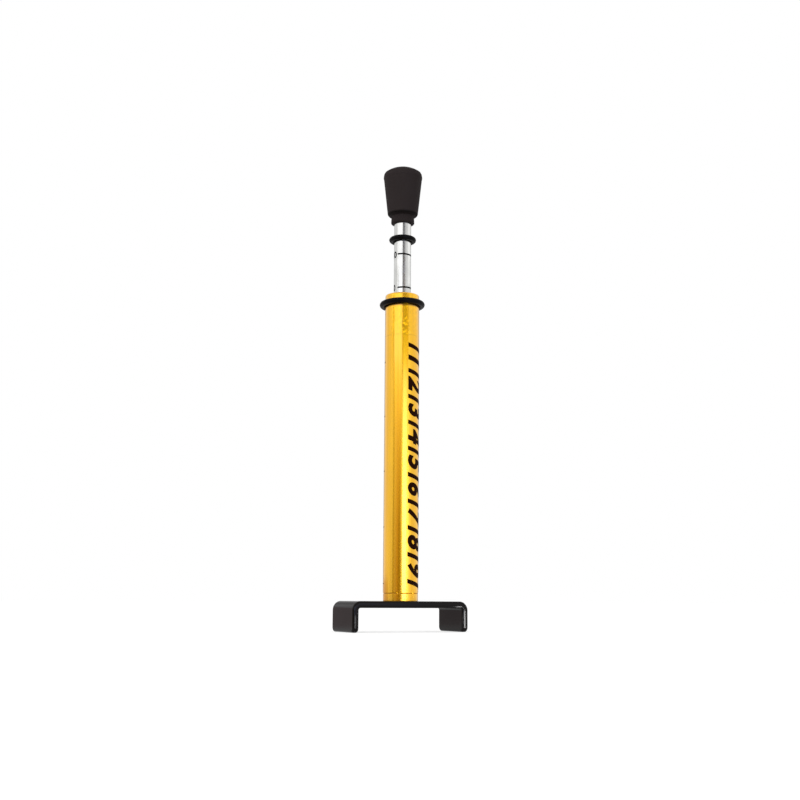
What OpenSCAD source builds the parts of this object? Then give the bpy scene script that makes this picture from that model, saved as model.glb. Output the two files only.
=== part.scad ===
// Belt tension gauge: a sprung plunger in a tubular barrel that stands on a U-shaped belt cradle.
// Millimetres. +Z runs along the barrel, from the feet of the cradle up to the knob.
// The plunger is drawn at rest, pushed up by its spring.

/* [Belt cradle] */
// Clear width between the legs, wider than the widest belt
gap_w = 51; // [36:1:80]
// Width of the strap
strap_w = 23.4; // [18:0.2:40]
// Thickness of the strap
strap_t = 3; // [2.4:0.1:4]
// Depth of the legs below the plate
leg_l = 10.6; // [8:0.1:25]
// Inside radius of the two bends
bend_r = 1; // [0.6:0.1:3]
// Radius of the leg corners
leg_corner_r = 2; // [0.5:0.1:5]

/* [Cradle screw] */
// Diameter of the screw
screw_d = 5; // [4:0.1:5.6]
// Diameter of the countersunk head
screw_head_d = 9.2; // [8.4:0.1:10]
// Length of the screw, head included
screw_l = 11; // [8:0.5:13]

/* [Barrel] */
// Outside diameter of the barrel
barrel_d = 16; // [15.4:0.1:20]
// Length of the barrel tube
barrel_l = 135; // [115:1:200]
// Wall around the piston
barrel_wall = 1.7; // [1.2:0.1:2]
// Width of the ledge that stops the piston at full stroke
ledge_w = 0.7; // [0.4:0.1:0.9]
// Bevel on the ends of the barrel
barrel_bevel = 0.3; // [0.1:0.1:0.6]
// Thickness of the cap flange and of the plug flange
flange_t = 3.4; // [2.6:0.1:6]
// How far the flanges lie inside the barrel's outline
flange_inset = 0.1; // [0.05:0.05:0.4]
// Length of the spigots that hold the cap and the plug
spigot_l = 12; // [9:0.5:18]
// Radius of the cap's upper edge
cap_edge_r = 0.8; // [0.3:0.1:1.2]
// Thickness of the lip that keeps the guide bush in the cap
cap_lip_t = 1.6; // [1:0.1:2.4]

/* [Plunger] */
// Diameter of the rod
rod_d = 8; // [6.6:0.1:8.4]
// Length of rod that shows between the cap and the knob
rod_reach = 34.8; // [26:0.2:60]
// Travel of the plunger
stroke = 20; // [12:0.5:24]
// Wall of the guide bush
bush_wall = 1.2; // [0.8:0.1:1.4]
// Length of the piston
piston_l = 11; // [9.5:0.5:16]
// Width of the piston band
band_w = 3; // [2:0.1:4]
// Thickness of the piston band
band_t = 0.6; // [0.4:0.1:0.8]
// Width of the split in the piston band
band_split_w = 0.8; // [0.4:0.1:1.5]
// Diameter of the tenon at the foot of the rod
tenon_d = 5.6; // [5:0.1:6]
// Diameter of the clip groove in the tenon
clip_groove_d = 4; // [3.4:0.1:4.4]
// Outside diameter of the clip and of the washer above it
clip_d = 8.8; // [7.8:0.1:9]
// Thickness of the clip
clip_t = 0.7; // [0.5:0.1:1]
// Width of the clip's open ring
clip_web = 1; // [0.6:0.1:1.4]
// Width of the clip's prongs
clip_prong_w = 1.4; // [0.8:0.1:2]
// Length of tenon below the clip
tenon_end_l = 0.8; // [0.5:0.1:1.5]
// Thickness of the washer above the clip
washer_t = 0.6; // [0.4:0.1:1]
// Thickness of the rubber buffer on the piston
buffer_t = 2; // [1:0.1:4]

/* [Spring] */
// Diameter of the spring wire
wire_d = 1.5; // [1:0.1:1.8]
// Active turns of the spring
active_turns = 26; // [14:1:30]
// Gap between the spring and its bore
spring_gap = 0.3; // [0.2:0.05:0.5]
// Thickness of the spring seats
seat_t = 1.2; // [0.8:0.1:2.4]
// Height of the spigots that centre the spring on its seats
seat_spigot_l = 3; // [1.5:0.1:5]
// Thickness of one calibration shim
shim_t = 0.5; // [0.2:0.05:1]
// Number of calibration shims
shim_count = 2; // [1:1:5]

/* [Knob] */
// Diameter of the knob at the rim of its dome
knob_d = 18.5; // [16:0.1:26]
// Height of the knob
knob_h = 28; // [26:0.1:40]
// Height of the dome
dome_h = 3.1; // [2:0.1:6]
// Height of the rim under the dome
rim_h = 2.8; // [1.6:0.1:4]
// How far the rim draws in towards the dome
rim_taper = 0.3; // [0:0.05:0.8]
// Step under the rim
rim_step = 0.2; // [0.1:0.05:0.8]
// Diameter of the knob's lower end
knob_low_d = 14.1; // [13.4:0.1:15.6]
// Diameter of the knob's neck
neck_d = 11.1; // [10.4:0.1:12]
// Height of the knob's neck
neck_h = 3.8; // [2.5:0.1:6]
// How far the neck draws in towards its upper end
neck_waist = 0.2; // [0:0.05:0.4]
// Depth that the rod goes into the knob
socket_l = 18; // [12:0.5:18.5]
// Thickness of the disc between the rod and the rubber
disc_t = 1.2; // [0.8:0.1:2]

/* [Marker rings] */
// Cord diameter of the ring on the rod
force_cord_d = 2.3; // [1.6:0.1:3]
// Distance of the ring on the rod below the knob
force_ring_drop = 7.8; // [3:0.1:12]
// Cord diameter of the ring on the barrel
deflection_cord_d = 2.5; // [1.8:0.1:3.5]
// Distance of the ring on the barrel below the cap
deflection_ring_drop = 1.2; // [0.5:0.1:40]

/* [Clearances] */
// Radial clearance of parts that run on each other
run_gap = 0.05; // [0.02:0.01:0.08]
// Radial clearance of parts that are pressed or screwed together
seat_gap = 0.02; // [0.01:0.01:0.05]
// Clearance at the ends of the stroke and of the swivel
end_gap = 0.1; // [0.05:0.05:0.2]

/* [Hidden] */
$fn = 96;
spring_steps = 12;
wire_sides = 6;
closed_turns = 1;
bevel = 0.4;
fine_bevel = 0.2;

// Diameters inside the barrel
piston_bore_d = barrel_d - 2 * barrel_wall;
spring_bore_d = piston_bore_d - 2 * ledge_w;
flange_d = barrel_d - 2 * flange_inset;
cap_spigot_d = piston_bore_d - 2 * seat_gap;
plug_spigot_d = spring_bore_d - 2 * seat_gap;
bush_bore_d = rod_d + 2 * run_gap;
bush_d = bush_bore_d + 2 * bush_wall;
cap_mouth_d = rod_d + 4 * run_gap;
band_d = piston_bore_d - 2 * run_gap;
piston_d = piston_bore_d - 6 * run_gap;
pocket_d = clip_d + 2 * end_gap;
spring_d = spring_bore_d - 2 * spring_gap;
spring_inside_d = spring_d - 2 * wire_d;
seat_d = spring_bore_d - 4 * run_gap;
seat_spigot_d = spring_inside_d - 2 * spring_gap;
shim_bore_d = spring_inside_d - 2 * wire_d;

// Heights, from the feet upwards
z_plate = leg_l + strap_t;
z_barrel = z_plate + flange_t;
z_shims = z_barrel + spigot_l;
z_lower_seat = z_shims + shim_count * (shim_t + seat_gap);
z_spring = z_lower_seat + seat_t + end_gap / 2;
z_barrel_top = z_barrel + barrel_l;
z_cap = z_barrel_top + flange_t;
z_cap_foot = z_barrel_top - spigot_l;
z_piston = z_cap_foot - end_gap - buffer_t;
z_piston_foot = z_piston - piston_l;
z_ledge = z_piston_foot - stroke - end_gap;
z_upper_seat = z_piston_foot - seat_t;
z_spring_top = z_upper_seat - end_gap / 2;
z_knob = z_cap + rod_reach;
z_rod_top = z_knob + socket_l;

// Depth of the pocket in the piston's foot, with room for the washer, the clip and the end of the tenon
pocket_l = washer_t + clip_t + tenon_end_l + 4 * end_gap;
z_pocket = z_piston_foot + pocket_l;
z_washer = z_pocket - end_gap - washer_t;
z_clip = z_washer - end_gap - clip_t;
z_tenon_foot = z_clip - tenon_end_l;

// Points of an arc, for the round stretches of an outline
function arc(centre, r, from, to, steps = 8) =
    [for (i = [0 : steps]) let (a = from + (to - from) * i / steps) centre + r * [cos(a), sin(a)]];

// Points of a soft corner, from a on one side of it to b on the other
function soft_corner(a, corner, b, steps = 5) =
    [for (i = [0 : steps]) let (t = i / steps) (1 - t) * (1 - t) * a + 2 * t * (1 - t) * corner + t * t * b];

// A turned piece from the outline of its right half
module turned(outline) {
    rotate_extrude() polygon(outline);
}

// A plain washer that stands on z
module washer(outer_d, inner_d, t, z) {
    turned([[inner_d / 2, z], [outer_d / 2, z], [outer_d / 2, z + t], [inner_d / 2, z + t]]);
}

// A rubber ring of round cord that grips a bar
module o_ring(bar_d, cord_d, z) {
    translate([0, 0, z])
        rotate_extrude()
            translate([bar_d / 2 + run_gap + cord_d / 2, 0])
                circle(d = cord_d, $fn = 48);
}

// Outline of a bent bracket's side: a rectangle that stands on z = 0 with its two upper corners rounded
module bent_outline(w, h, r) {
    translate([-w / 2, 0]) square([w, h - r]);
    translate([-w / 2 + r, 0]) square([w - 2 * r, h]);
    for (side = [-1, 1])
        translate([side * (w / 2 - r), h - r]) circle(r);
}

// What a rounded leg corner loses, along the whole width of the cradle
module corner_cut(side) {
    cut = leg_corner_r + 1;
    translate([0, side * (strap_w / 2 - leg_corner_r), leg_corner_r])
        rotate([0, 90, 0])
            difference() {
                translate([0, side > 0 ? 0 : -cut, -gap_w])
                    cube([cut, cut, 2 * gap_w]);
                cylinder(r = leg_corner_r, h = 3 * gap_w, center = true);
            }
}

module cradle() {
    sink_l = (screw_head_d - screw_d) / 2;
    color("#1f1e1f")
        difference() {
            rotate([90, 0, 0])
                linear_extrude(strap_w, center = true)
                    difference() {
                        bent_outline(gap_w + 2 * strap_t, z_plate, bend_r + strap_t);
                        translate([0, -1])
                            bent_outline(gap_w, leg_l + 1, bend_r);
                    }
            for (side = [-1, 1])
                corner_cut(side);
            translate([0, 0, leg_l - 1])
                cylinder(d = screw_d + 2 * seat_gap, h = strap_t + 2);
            translate([0, 0, leg_l])
                cylinder(d1 = screw_head_d + 2 * seat_gap, d2 = screw_d + 2 * seat_gap, h = sink_l);
        }
}

// A countersunk screw with a cross recess, flush with the underside of the plate
module cradle_screw() {
    sink_l = (screw_head_d - screw_d) / 2;
    recess_l = screw_head_d * 0.55;
    recess_w = screw_d * 0.22;
    recess_h = sink_l * 0.75;
    color("silver")
        difference() {
            turned([
                [0, leg_l], [screw_head_d / 2, leg_l], [screw_d / 2, leg_l + sink_l],
                [screw_d / 2, leg_l + screw_l - bevel], [screw_d / 2 - bevel, leg_l + screw_l],
                [0, leg_l + screw_l]
            ]);
            for (turn = [0, 90])
                rotate(turn)
                    translate([-recess_l / 2, -recess_w / 2, leg_l - 1])
                        cube([recess_l, recess_w, recess_h + 1]);
        }
}

// Closes the foot of the barrel and takes the cradle screw in its threaded hole
module end_plug() {
    hole_r = screw_d / 2 + seat_gap;
    z_hole_end = z_plate + screw_l - strap_t + 1;
    color("#d9a32a")
        turned([
            [hole_r, z_plate], [flange_d / 2 - fine_bevel, z_plate], [flange_d / 2, z_plate + fine_bevel],
            [flange_d / 2, z_barrel - fine_bevel], [flange_d / 2 - fine_bevel, z_barrel],
            [plug_spigot_d / 2, z_barrel], [plug_spigot_d / 2, z_shims - bevel],
            [plug_spigot_d / 2 - bevel, z_shims], [0, z_shims],
            [0, z_hole_end + hole_r / 2], [hole_r, z_hole_end]
        ]);
}

// The tube: a wide bore above for the piston, a narrower one below for the spring, and the ledge between them
module barrel() {
    outer_r = barrel_d / 2;
    color("#d9a32a")
        turned([
            [spring_bore_d / 2, z_barrel],
            [outer_r - barrel_bevel, z_barrel], [outer_r, z_barrel + barrel_bevel],
            [outer_r, z_barrel_top - barrel_bevel], [outer_r - barrel_bevel, z_barrel_top],
            [piston_bore_d / 2, z_barrel_top], [piston_bore_d / 2, z_ledge], [spring_bore_d / 2, z_ledge]
        ]);
}

// Closes the top of the barrel, stops the plunger on its way up and carries the guide bush
module top_cap() {
    bush_r = bush_d / 2 + seat_gap;
    mouth_r = cap_mouth_d / 2;
    color("#d9a32a")
        turned(concat(
            [[bush_r, z_cap_foot], [cap_spigot_d / 2 - fine_bevel, z_cap_foot],
             [cap_spigot_d / 2, z_cap_foot + fine_bevel], [cap_spigot_d / 2, z_barrel_top],
             [flange_d / 2 - fine_bevel, z_barrel_top], [flange_d / 2, z_barrel_top + fine_bevel]],
            arc([flange_d / 2 - cap_edge_r, z_cap - cap_edge_r], cap_edge_r, 0, 90),
            [[mouth_r + bevel, z_cap], [mouth_r, z_cap - bevel],
             [mouth_r, z_cap - cap_lip_t], [bush_r, z_cap - cap_lip_t]]
        ));
}

module guide_bush() {
    bore_r = bush_bore_d / 2;
    z_top = z_cap - cap_lip_t;
    color("#e8e4d8")
        turned([
            [bore_r + fine_bevel, z_cap_foot], [bush_d / 2, z_cap_foot], [bush_d / 2, z_top],
            [bore_r + fine_bevel, z_top], [bore_r, z_top - fine_bevel], [bore_r, z_cap_foot + fine_bevel]
        ]);
}

module deflection_ring() {
    color("#1a191b") o_ring(barrel_d, deflection_cord_d, z_barrel_top - deflection_ring_drop);
}

// Thin washers that set the preload of the spring
module calibration_shims() {
    color("silver")
        for (i = [0 : shim_count - 1])
            washer(seat_d, shim_bore_d, shim_t, z_shims + seat_gap + i * (shim_t + seat_gap));
}

// Outline of a spring seat: a disc on z with a centring spigot that points up or down
function seat_outline(z, up) =
    let (face = up > 0 ? z + seat_t : z, back = up > 0 ? z : z + seat_t, tip = face + up * seat_spigot_l,
         spigot_r = seat_spigot_d / 2, hole_r = spigot_r / 2)
    [[hole_r, back], [seat_d / 2, back], [seat_d / 2, face], [spigot_r, face],
     [spigot_r, tip - up * bevel], [spigot_r - bevel, tip], [hole_r, tip]];

module lower_spring_seat() {
    color("dimgray") turned(seat_outline(z_lower_seat, 1));
}

module upper_spring_seat() {
    color("dimgray") turned(seat_outline(z_upper_seat, -1));
}

// Height of the wire's centre after a number of turns: closed turns at the ends, even pitch between them
function coil_z(turn) =
    let (turns = active_turns + 2 * closed_turns, closed_pitch = wire_d * 1.04,
         low = z_spring + wire_d / 2, high = z_spring_top - wire_d / 2,
         pitch = (high - low - 2 * closed_turns * closed_pitch) / active_turns)
    turn < closed_turns ? low + turn * closed_pitch
    : turn > turns - closed_turns ? high - (turns - turn) * closed_pitch
    : low + closed_turns * closed_pitch + (turn - closed_turns) * pitch;

// One ring of points around the wire
function wire_ring(turn) =
    let (coil_r = (spring_d - wire_d) / 2, a = 360 * turn, out = [cos(a), sin(a), 0])
    [for (i = [0 : wire_sides - 1]) let (b = 360 * i / wire_sides)
        out * (coil_r + wire_d / 2 * cos(b)) + [0, 0, coil_z(turn) + wire_d / 2 * sin(b)]];

module spring() {
    rings = (active_turns + 2 * closed_turns) * spring_steps;
    points = [for (i = [0 : rings]) each wire_ring(i / spring_steps)];
    sides = [for (i = [0 : rings - 1], k = [0 : wire_sides - 1])
        let (n = (k + 1) % wire_sides, a = i * wire_sides)
        [a + k, a + n, a + wire_sides + n, a + wire_sides + k]];
    first = [for (k = [wire_sides - 1 : -1 : 0]) k];
    last = [for (k = [0 : wire_sides - 1]) rings * wire_sides + k];
    color("lightslategray") polyhedron(points, concat([first], sides, [last]));
}

// Slides in the barrel, carries the rod and bears on the spring
module piston() {
    bore_r = tenon_d / 2 + run_gap;
    groove_r = band_d / 2 - band_t - seat_gap;
    z_band = z_piston - (piston_l - pocket_l) / 2;
    half_w = band_w / 2 + seat_gap;
    outer_r = piston_d / 2;
    color("#b8a25a")
        turned([
            [bore_r, z_pocket], [pocket_d / 2, z_pocket], [pocket_d / 2, z_piston_foot],
            [outer_r - fine_bevel, z_piston_foot], [outer_r, z_piston_foot + fine_bevel],
            [outer_r, z_band - half_w], [groove_r, z_band - half_w],
            [groove_r, z_band + half_w], [outer_r, z_band + half_w],
            [outer_r, z_piston - fine_bevel], [outer_r - fine_bevel, z_piston], [bore_r, z_piston]
        ]);
}

// A split band that keeps the piston off the wall of the barrel
module piston_band() {
    z_band = z_piston - (piston_l - pocket_l) / 2;
    color("#f0ede2")
        difference() {
            washer(band_d, band_d - 2 * band_t, band_w, z_band - band_w / 2);
            translate([-band_split_w / 2, 0, z_band - band_w])
                cube([band_split_w, barrel_d, 2 * band_w]);
        }
}

module piston_buffer() {
    inner_d = rod_d + 6 * run_gap;
    outer_r = cap_spigot_d / 2 - bevel;
    color("#242324")
        turned(concat(
            [[inner_d / 2, z_piston], [outer_r - fine_bevel, z_piston], [outer_r, z_piston + fine_bevel]],
            arc([outer_r - bevel, z_piston + buffer_t - bevel], bevel, 0, 90, 4),
            [[inner_d / 2, z_piston + buffer_t]]
        ));
}

// The graduated rod, with a tenon through the piston and a groove for its clip
module plunger_rod() {
    z_shoulder = z_piston + end_gap;
    z_groove_top = z_clip + clip_t + seat_gap;
    z_groove_low = z_clip - seat_gap;
    groove_r = clip_groove_d / 2;
    color("#d7d9dc")
        turned([
            [0, z_tenon_foot],
            [tenon_d / 2 - fine_bevel, z_tenon_foot], [tenon_d / 2, z_tenon_foot + fine_bevel],
            [tenon_d / 2, z_groove_low], [groove_r, z_groove_low],
            [groove_r, z_groove_top], [tenon_d / 2, z_groove_top],
            [tenon_d / 2, z_shoulder], [rod_d / 2, z_shoulder],
            [rod_d / 2, z_rod_top - bevel], [rod_d / 2 - bevel, z_rod_top], [0, z_rod_top]
        ]);
}

module rod_washer() {
    color("silver") washer(clip_d, tenon_d + 2 * seat_gap, washer_t, z_washer);
}

// An E-clip: an open ring with three prongs that reach into the groove
module rod_clip() {
    hub_d = clip_groove_d + 2 * seat_gap;
    color("dimgray")
        translate([0, 0, z_clip])
            linear_extrude(clip_t)
                difference() {
                    union() {
                        difference() {
                            circle(d = clip_d);
                            circle(d = clip_d - 2 * clip_web);
                        }
                        for (turn = [0, 90, 180])
                            rotate(turn)
                                translate([0, -clip_prong_w / 2])
                                    square([(clip_d - clip_web) / 2, clip_prong_w]);
                    }
                    circle(d = hub_d);
                    translate([-hub_d / 2, -clip_d])
                        square([hub_d, clip_d]);
                }
}

// Spreads the push of the rod inside the soft knob
module knob_disc() {
    color("silver") translate([0, 0, z_rod_top]) cylinder(d = rod_d, h = disc_t);
}

// A soft tapered knob with a neck, a rim and a dome that is part of a ball, pushed over the end of the rod
module knob() {
    socket_r = rod_d / 2 + seat_gap;
    neck_edge_r = 0.7;
    foot_edge_r = 1.4;
    rim_edge_r = rim_step * 0.75;
    shoulder_l = 0.8;
    waist_r = neck_d / 2 - neck_waist;
    low_r = knob_low_d / 2;
    rim_r = knob_d / 2;
    shoulder_r = rim_r - rim_taper;
    z_neck = z_knob + neck_h;
    z_top = z_knob + knob_h;
    z_dome = z_top - dome_h;
    z_rim = z_dome - rim_h;
    z_socket = z_rod_top + disc_t;
    dome_r = (shoulder_r * shoulder_r + dome_h * dome_h) / (2 * dome_h);
    dome_foot = acos(shoulder_r / dome_r);
    dome_from = dome_foot + shoulder_l / dome_r * 180 / PI;
    dome = arc([0, z_top - dome_r], dome_r, dome_from, 84, 10);
    rim_side = [shoulder_r + rim_taper * shoulder_l / rim_h, z_dome - shoulder_l];
    color("#262325")
        turned(concat(
            [[socket_r, z_knob]],
            arc([neck_d / 2 - neck_edge_r, z_knob + neck_edge_r], neck_edge_r, -90, 0, 5),
            [[waist_r, z_neck]],
            arc([low_r - foot_edge_r, z_neck + foot_edge_r], foot_edge_r, -90, 0, 6),
            [[rim_r - rim_step, z_rim]],
            arc([rim_r - rim_edge_r, z_rim + rim_edge_r], rim_edge_r, -90, 0, 3),
            soft_corner(rim_side, [shoulder_r, z_dome], dome[0]),
            [for (i = [1 : len(dome) - 1]) dome[i]],
            [[0, z_top], [0, z_socket], [socket_r, z_socket]]
        ));
}

module force_ring() {
    color("#1a191b") o_ring(rod_d, force_cord_d, z_knob - force_ring_drop);
}

cradle();
cradle_screw();
end_plug();
barrel();
top_cap();
guide_bush();
deflection_ring();
calibration_shims();
lower_spring_seat();
spring();
upper_spring_seat();
piston();
piston_band();
piston_buffer();
plunger_rod();
rod_washer();
rod_clip();
knob_disc();
knob();
force_ring();
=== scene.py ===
# %% [markdown]
# # A belt tension tester
# A mechanic stands the black cradle of this tester on a drive belt and pushes the knob down. The rod slides
# into the gold barrel against a spring. One rubber ring keeps the force, the other how far the belt moved.
# The solids, sizes and joints come from a CAD model. This lesson models the pieces that show once more, with
# soft edges, print and worn finishes, and keeps the CAD sizes.

# %% Load the CAD model
import math

import bmesh
import bpy
from mathutils import Matrix, Vector


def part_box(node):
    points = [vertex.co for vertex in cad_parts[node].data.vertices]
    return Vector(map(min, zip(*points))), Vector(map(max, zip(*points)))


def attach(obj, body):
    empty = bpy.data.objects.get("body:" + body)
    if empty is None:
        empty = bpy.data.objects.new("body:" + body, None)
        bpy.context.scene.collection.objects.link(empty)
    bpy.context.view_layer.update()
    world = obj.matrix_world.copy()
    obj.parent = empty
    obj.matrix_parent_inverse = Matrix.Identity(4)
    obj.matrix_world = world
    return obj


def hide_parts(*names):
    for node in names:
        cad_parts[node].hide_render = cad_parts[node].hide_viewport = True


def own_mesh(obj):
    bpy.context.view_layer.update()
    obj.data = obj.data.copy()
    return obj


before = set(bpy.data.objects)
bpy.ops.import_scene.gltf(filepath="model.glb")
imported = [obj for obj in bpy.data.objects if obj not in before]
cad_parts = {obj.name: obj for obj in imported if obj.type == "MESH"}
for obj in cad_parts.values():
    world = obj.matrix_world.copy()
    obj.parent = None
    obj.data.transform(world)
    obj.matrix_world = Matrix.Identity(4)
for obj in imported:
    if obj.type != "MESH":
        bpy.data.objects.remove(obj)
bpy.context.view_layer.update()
MM = 0.001
print("CAD nodes:", len(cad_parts))

# %% [markdown]
# ## Shader maths in Python
# A finish is a net of nodes, and a net that is wired by hand is hard to read. So one small class wraps an
# output socket. Adding or multiplying two wires adds a Math node, and `node` adds any other kind: first the
# node's settings, then the values or wires of its sockets.

# %% The wire class
class Wire:
    """An output socket of a node tree that takes part in sums."""

    def __init__(self, tree, socket=None):
        self.tree = tree
        self.socket = socket

    def node(self, kind, settings=None, sockets=None, out=0):
        """Adds a node and gives the wire that leaves one of its outputs."""
        made = self.tree.nodes.new(kind)
        for name, value in (settings or {}).items():
            setattr(made, name, value)
        for name, value in (sockets or {}).items():
            if isinstance(value, Wire):
                self.tree.links.new(value.socket, made.inputs[name])
            else:
                made.inputs[name].default_value = value
        return Wire(self.tree, made.outputs[out] if made.outputs else None)

    def math(self, operation, first, second):
        """Adds a Math node for two values or wires."""
        return self.node("ShaderNodeMath", {"operation": operation}, {0: first, 1: second})

    def __add__(self, other):
        return self.math("ADD", self, other)

    def __radd__(self, other):
        return self.math("ADD", other, self)

    def __sub__(self, other):
        return self.math("SUBTRACT", self, other)

    def __rsub__(self, other):
        return self.math("SUBTRACT", other, self)

    def __mul__(self, other):
        return self.math("MULTIPLY", self, other)

    def __rmul__(self, other):
        return self.math("MULTIPLY", other, self)

    def __truediv__(self, other):
        return self.math("DIVIDE", self, other)

    def __abs__(self):
        return self.math("ABSOLUTE", self, 0)

    def held(self):
        """The value, kept between 0 and 1."""
        return self.node("ShaderNodeClamp", None, {"Value": self})


print("wires ready")

# %% [markdown]
# ## Camera
# The photograph was taken from close to the table, a little to the left of the front, looking up along the
# barrel. The numbers were fitted to the corners of the cradle and to the taper of the barrel, so the model
# and the photograph can be compared point by point.

# %% Camera
yaw = math.radians(26)
pitch = math.radians(9.38)
roll = math.radians(0.36)
aim = math.radians(-0.08)
eye_distance = 0.5494
eye_height = 0.0149
lens = bpy.data.cameras.new("eye")
lens.sensor_width = 36
lens.lens = 54
lens.clip_start = 0.001
camera = bpy.data.objects.new("eye", lens)
bpy.context.scene.collection.objects.link(camera)
stand = Matrix.Translation((-math.sin(yaw) * eye_distance, -math.cos(yaw) * eye_distance, eye_height))
look = Matrix.Rotation(math.pi / 2 + pitch, 4, "X") @ Matrix.Rotation(roll, 4, "Z")
camera.matrix_world = stand @ Matrix.Rotation(-(yaw + aim), 4, "Z") @ look
bpy.context.scene.camera = camera
bpy.context.scene.view_settings.view_transform = "Standard"
print("camera at", [round(value, 3) for value in camera.matrix_world.translation])

# %% [markdown]
# ## White studio
# The background is plain white. The world is white for what the camera sees and for reflections, and dimmer
# as a light, so that a lamp can shape the pieces. `seen` is the switch between the two.

# %% World
def seen(wire):
    """1 for rays from the eye, in a mirror or through glass, and 0 for light that falls on a surface."""
    straight = wire.node("ShaderNodeLightPath", out="Is Camera Ray")
    mirrored = wire.node("ShaderNodeLightPath", out="Is Glossy Ray")
    through = wire.node("ShaderNodeLightPath", out="Is Transmission Ray")
    return (straight + mirrored + through).held()


room_light = 0.62
world = bpy.data.worlds.new("studio")
world.use_nodes = True
world.node_tree.nodes.clear()
bpy.context.scene.world = world
air = Wire(world.node_tree)
brightness = room_light + (1 - room_light) * seen(air)
backdrop = air.node("ShaderNodeBackground", None, {"Color": (1, 1, 1, 1), "Strength": brightness})
air.node("ShaderNodeOutputWorld", None, {"Surface": backdrop})
print("room light", room_light)

# %% [markdown]
# ## Floor
# A pale floor catches the shadow of the feet. It glows a little for the eye alone, which lifts it to the
# white of the background and still lets the shadow show.

# %% Studio helpers
def start_finish(name):
    """An empty material, and the wire that its nodes start from."""
    material = bpy.data.materials.new(name)
    material.use_nodes = True
    material.node_tree.nodes.clear()
    return material, Wire(material.node_tree)


def set_stage(bm, name, material):
    """Puts a piece of the studio into the scene that is no part of the tester."""
    mesh = bpy.data.meshes.new(name)
    bm.to_mesh(mesh)
    bm.free()
    mesh.materials.append(material)
    item = bpy.data.objects.new(name, mesh)
    bpy.context.scene.collection.objects.link(item)
    return item


print("studio helpers ready")

# %% Floor
floor_half = 3.0
floor_drop = 0.05 * MM
floor_grey = 0.55
floor_glow = 0.7
floor_finish, wire = start_finish("floor_paint")
paint = wire.node("ShaderNodeBsdfDiffuse", None, {"Color": (floor_grey, floor_grey, floor_grey, 1)})
glow = wire.node("ShaderNodeEmission", None, {"Strength": floor_glow * seen(wire)})
both = wire.node("ShaderNodeAddShader", None, {0: paint, 1: glow})
wire.node("ShaderNodeOutputMaterial", None, {"Surface": both})
bm = bmesh.new()
bmesh.ops.create_grid(bm, x_segments=1, y_segments=1, size=floor_half)
bmesh.ops.translate(bm, verts=bm.verts[:], vec=(0, 0, -floor_drop))
set_stage(bm, "floor", floor_finish)
print("floor", 2 * floor_half, "m wide")

# %% [markdown]
# ## Panels around the barrel
# A round metal bar shows nothing but what stands around it. In the photograph the lower barrel has a bright
# band right of its middle and a brown one left of it, and near the cap and on the rod the two change sides.
# So bright and dim cards will stand beside and above the camera, placed by the angle at which the barrel
# mirrors them. `panel` turns such an angle into a place.

# %% Places for panels
panel_distance = 900


def panel(turn_from, turn_to, low, high, distance=panel_distance):
    """An upright panel that faces the barrel: its matrix, width and height in metres.
    The turns are degrees to the right of the camera, the heights and the distance millimetres."""
    polar = -math.pi / 2 - yaw + math.radians((turn_from + turn_to) / 2)
    outward = Vector((math.cos(polar), math.sin(polar), 0))
    up = Vector((0, 0, 1))
    turn = Matrix((up.cross(outward), up, outward)).transposed().to_4x4()
    middle = (outward * distance + up * (low + high) / 2) * MM
    width = 2 * distance * math.tan(math.radians(turn_to - turn_from) / 2) * MM
    return Matrix.Translation(middle) @ turn, width, (high - low) * MM


print("panels stand", panel_distance, "mm from the barrel")

# %% [markdown]
# ## Soft lamp
# One area lamp lights the tester from the left front, as a soft box does in a studio. It doesn't show in
# reflections, because the cards do that part of the work and can be shaped band by band.

# %% Soft lamp
lamp_level = 2.4
place, width, height = panel(-50, -8, 120, 480)
lamp = bpy.data.lights.new("front_lamp", "AREA")
lamp.shape = "RECTANGLE"
lamp.size = width
lamp.size_y = height
lamp.energy = lamp_level * math.pi * width * height
holder = bpy.data.objects.new("front_lamp", lamp)
holder.matrix_world = place
holder.visible_camera = False
holder.visible_glossy = False
bpy.context.scene.collection.objects.link(holder)
print("lamp of", round(lamp.energy, 2), "W")

# %% [markdown]
# ## Cards
# A card is a glowing sheet that shows in reflections alone, so it draws a band on the metal and lights
# nothing. A large lamp could do the same, but it would also change every other colour. The bright card at
# the lower right is cool, which makes the highlight on the gold pale, and some of the dim ones are brown.

# %% Card helpers
def mixed(wire, amount, first, second):
    """A colour between two others. A Mix node takes its colours at 6 and 7 and gives one at 2."""
    return wire.node("ShaderNodeMix", {"data_type": "RGBA"}, {0: amount, 6: first, 7: second}, out=2)


white = (1, 1, 1, 1)
brown = (1, 0.62, 0.2, 1)
tan = (1, 0.86, 0.6, 1)
cool = (0.48, 0.62, 1, 1)
haze = (0.7, 0.74, 1, 1)


def level(wire):
    """The height above the floor."""
    place = wire.node("ShaderNodeTexCoord", out="Object")
    return wire.node("ShaderNodeSeparateXYZ", None, {"Vector": place}, out="Z")


def hide_from_view(item):
    """Leaves a piece of the studio in reflections alone."""
    item.visible_camera = False
    item.visible_diffuse = False
    item.visible_shadow = False


print("card colours and helpers ready")

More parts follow.
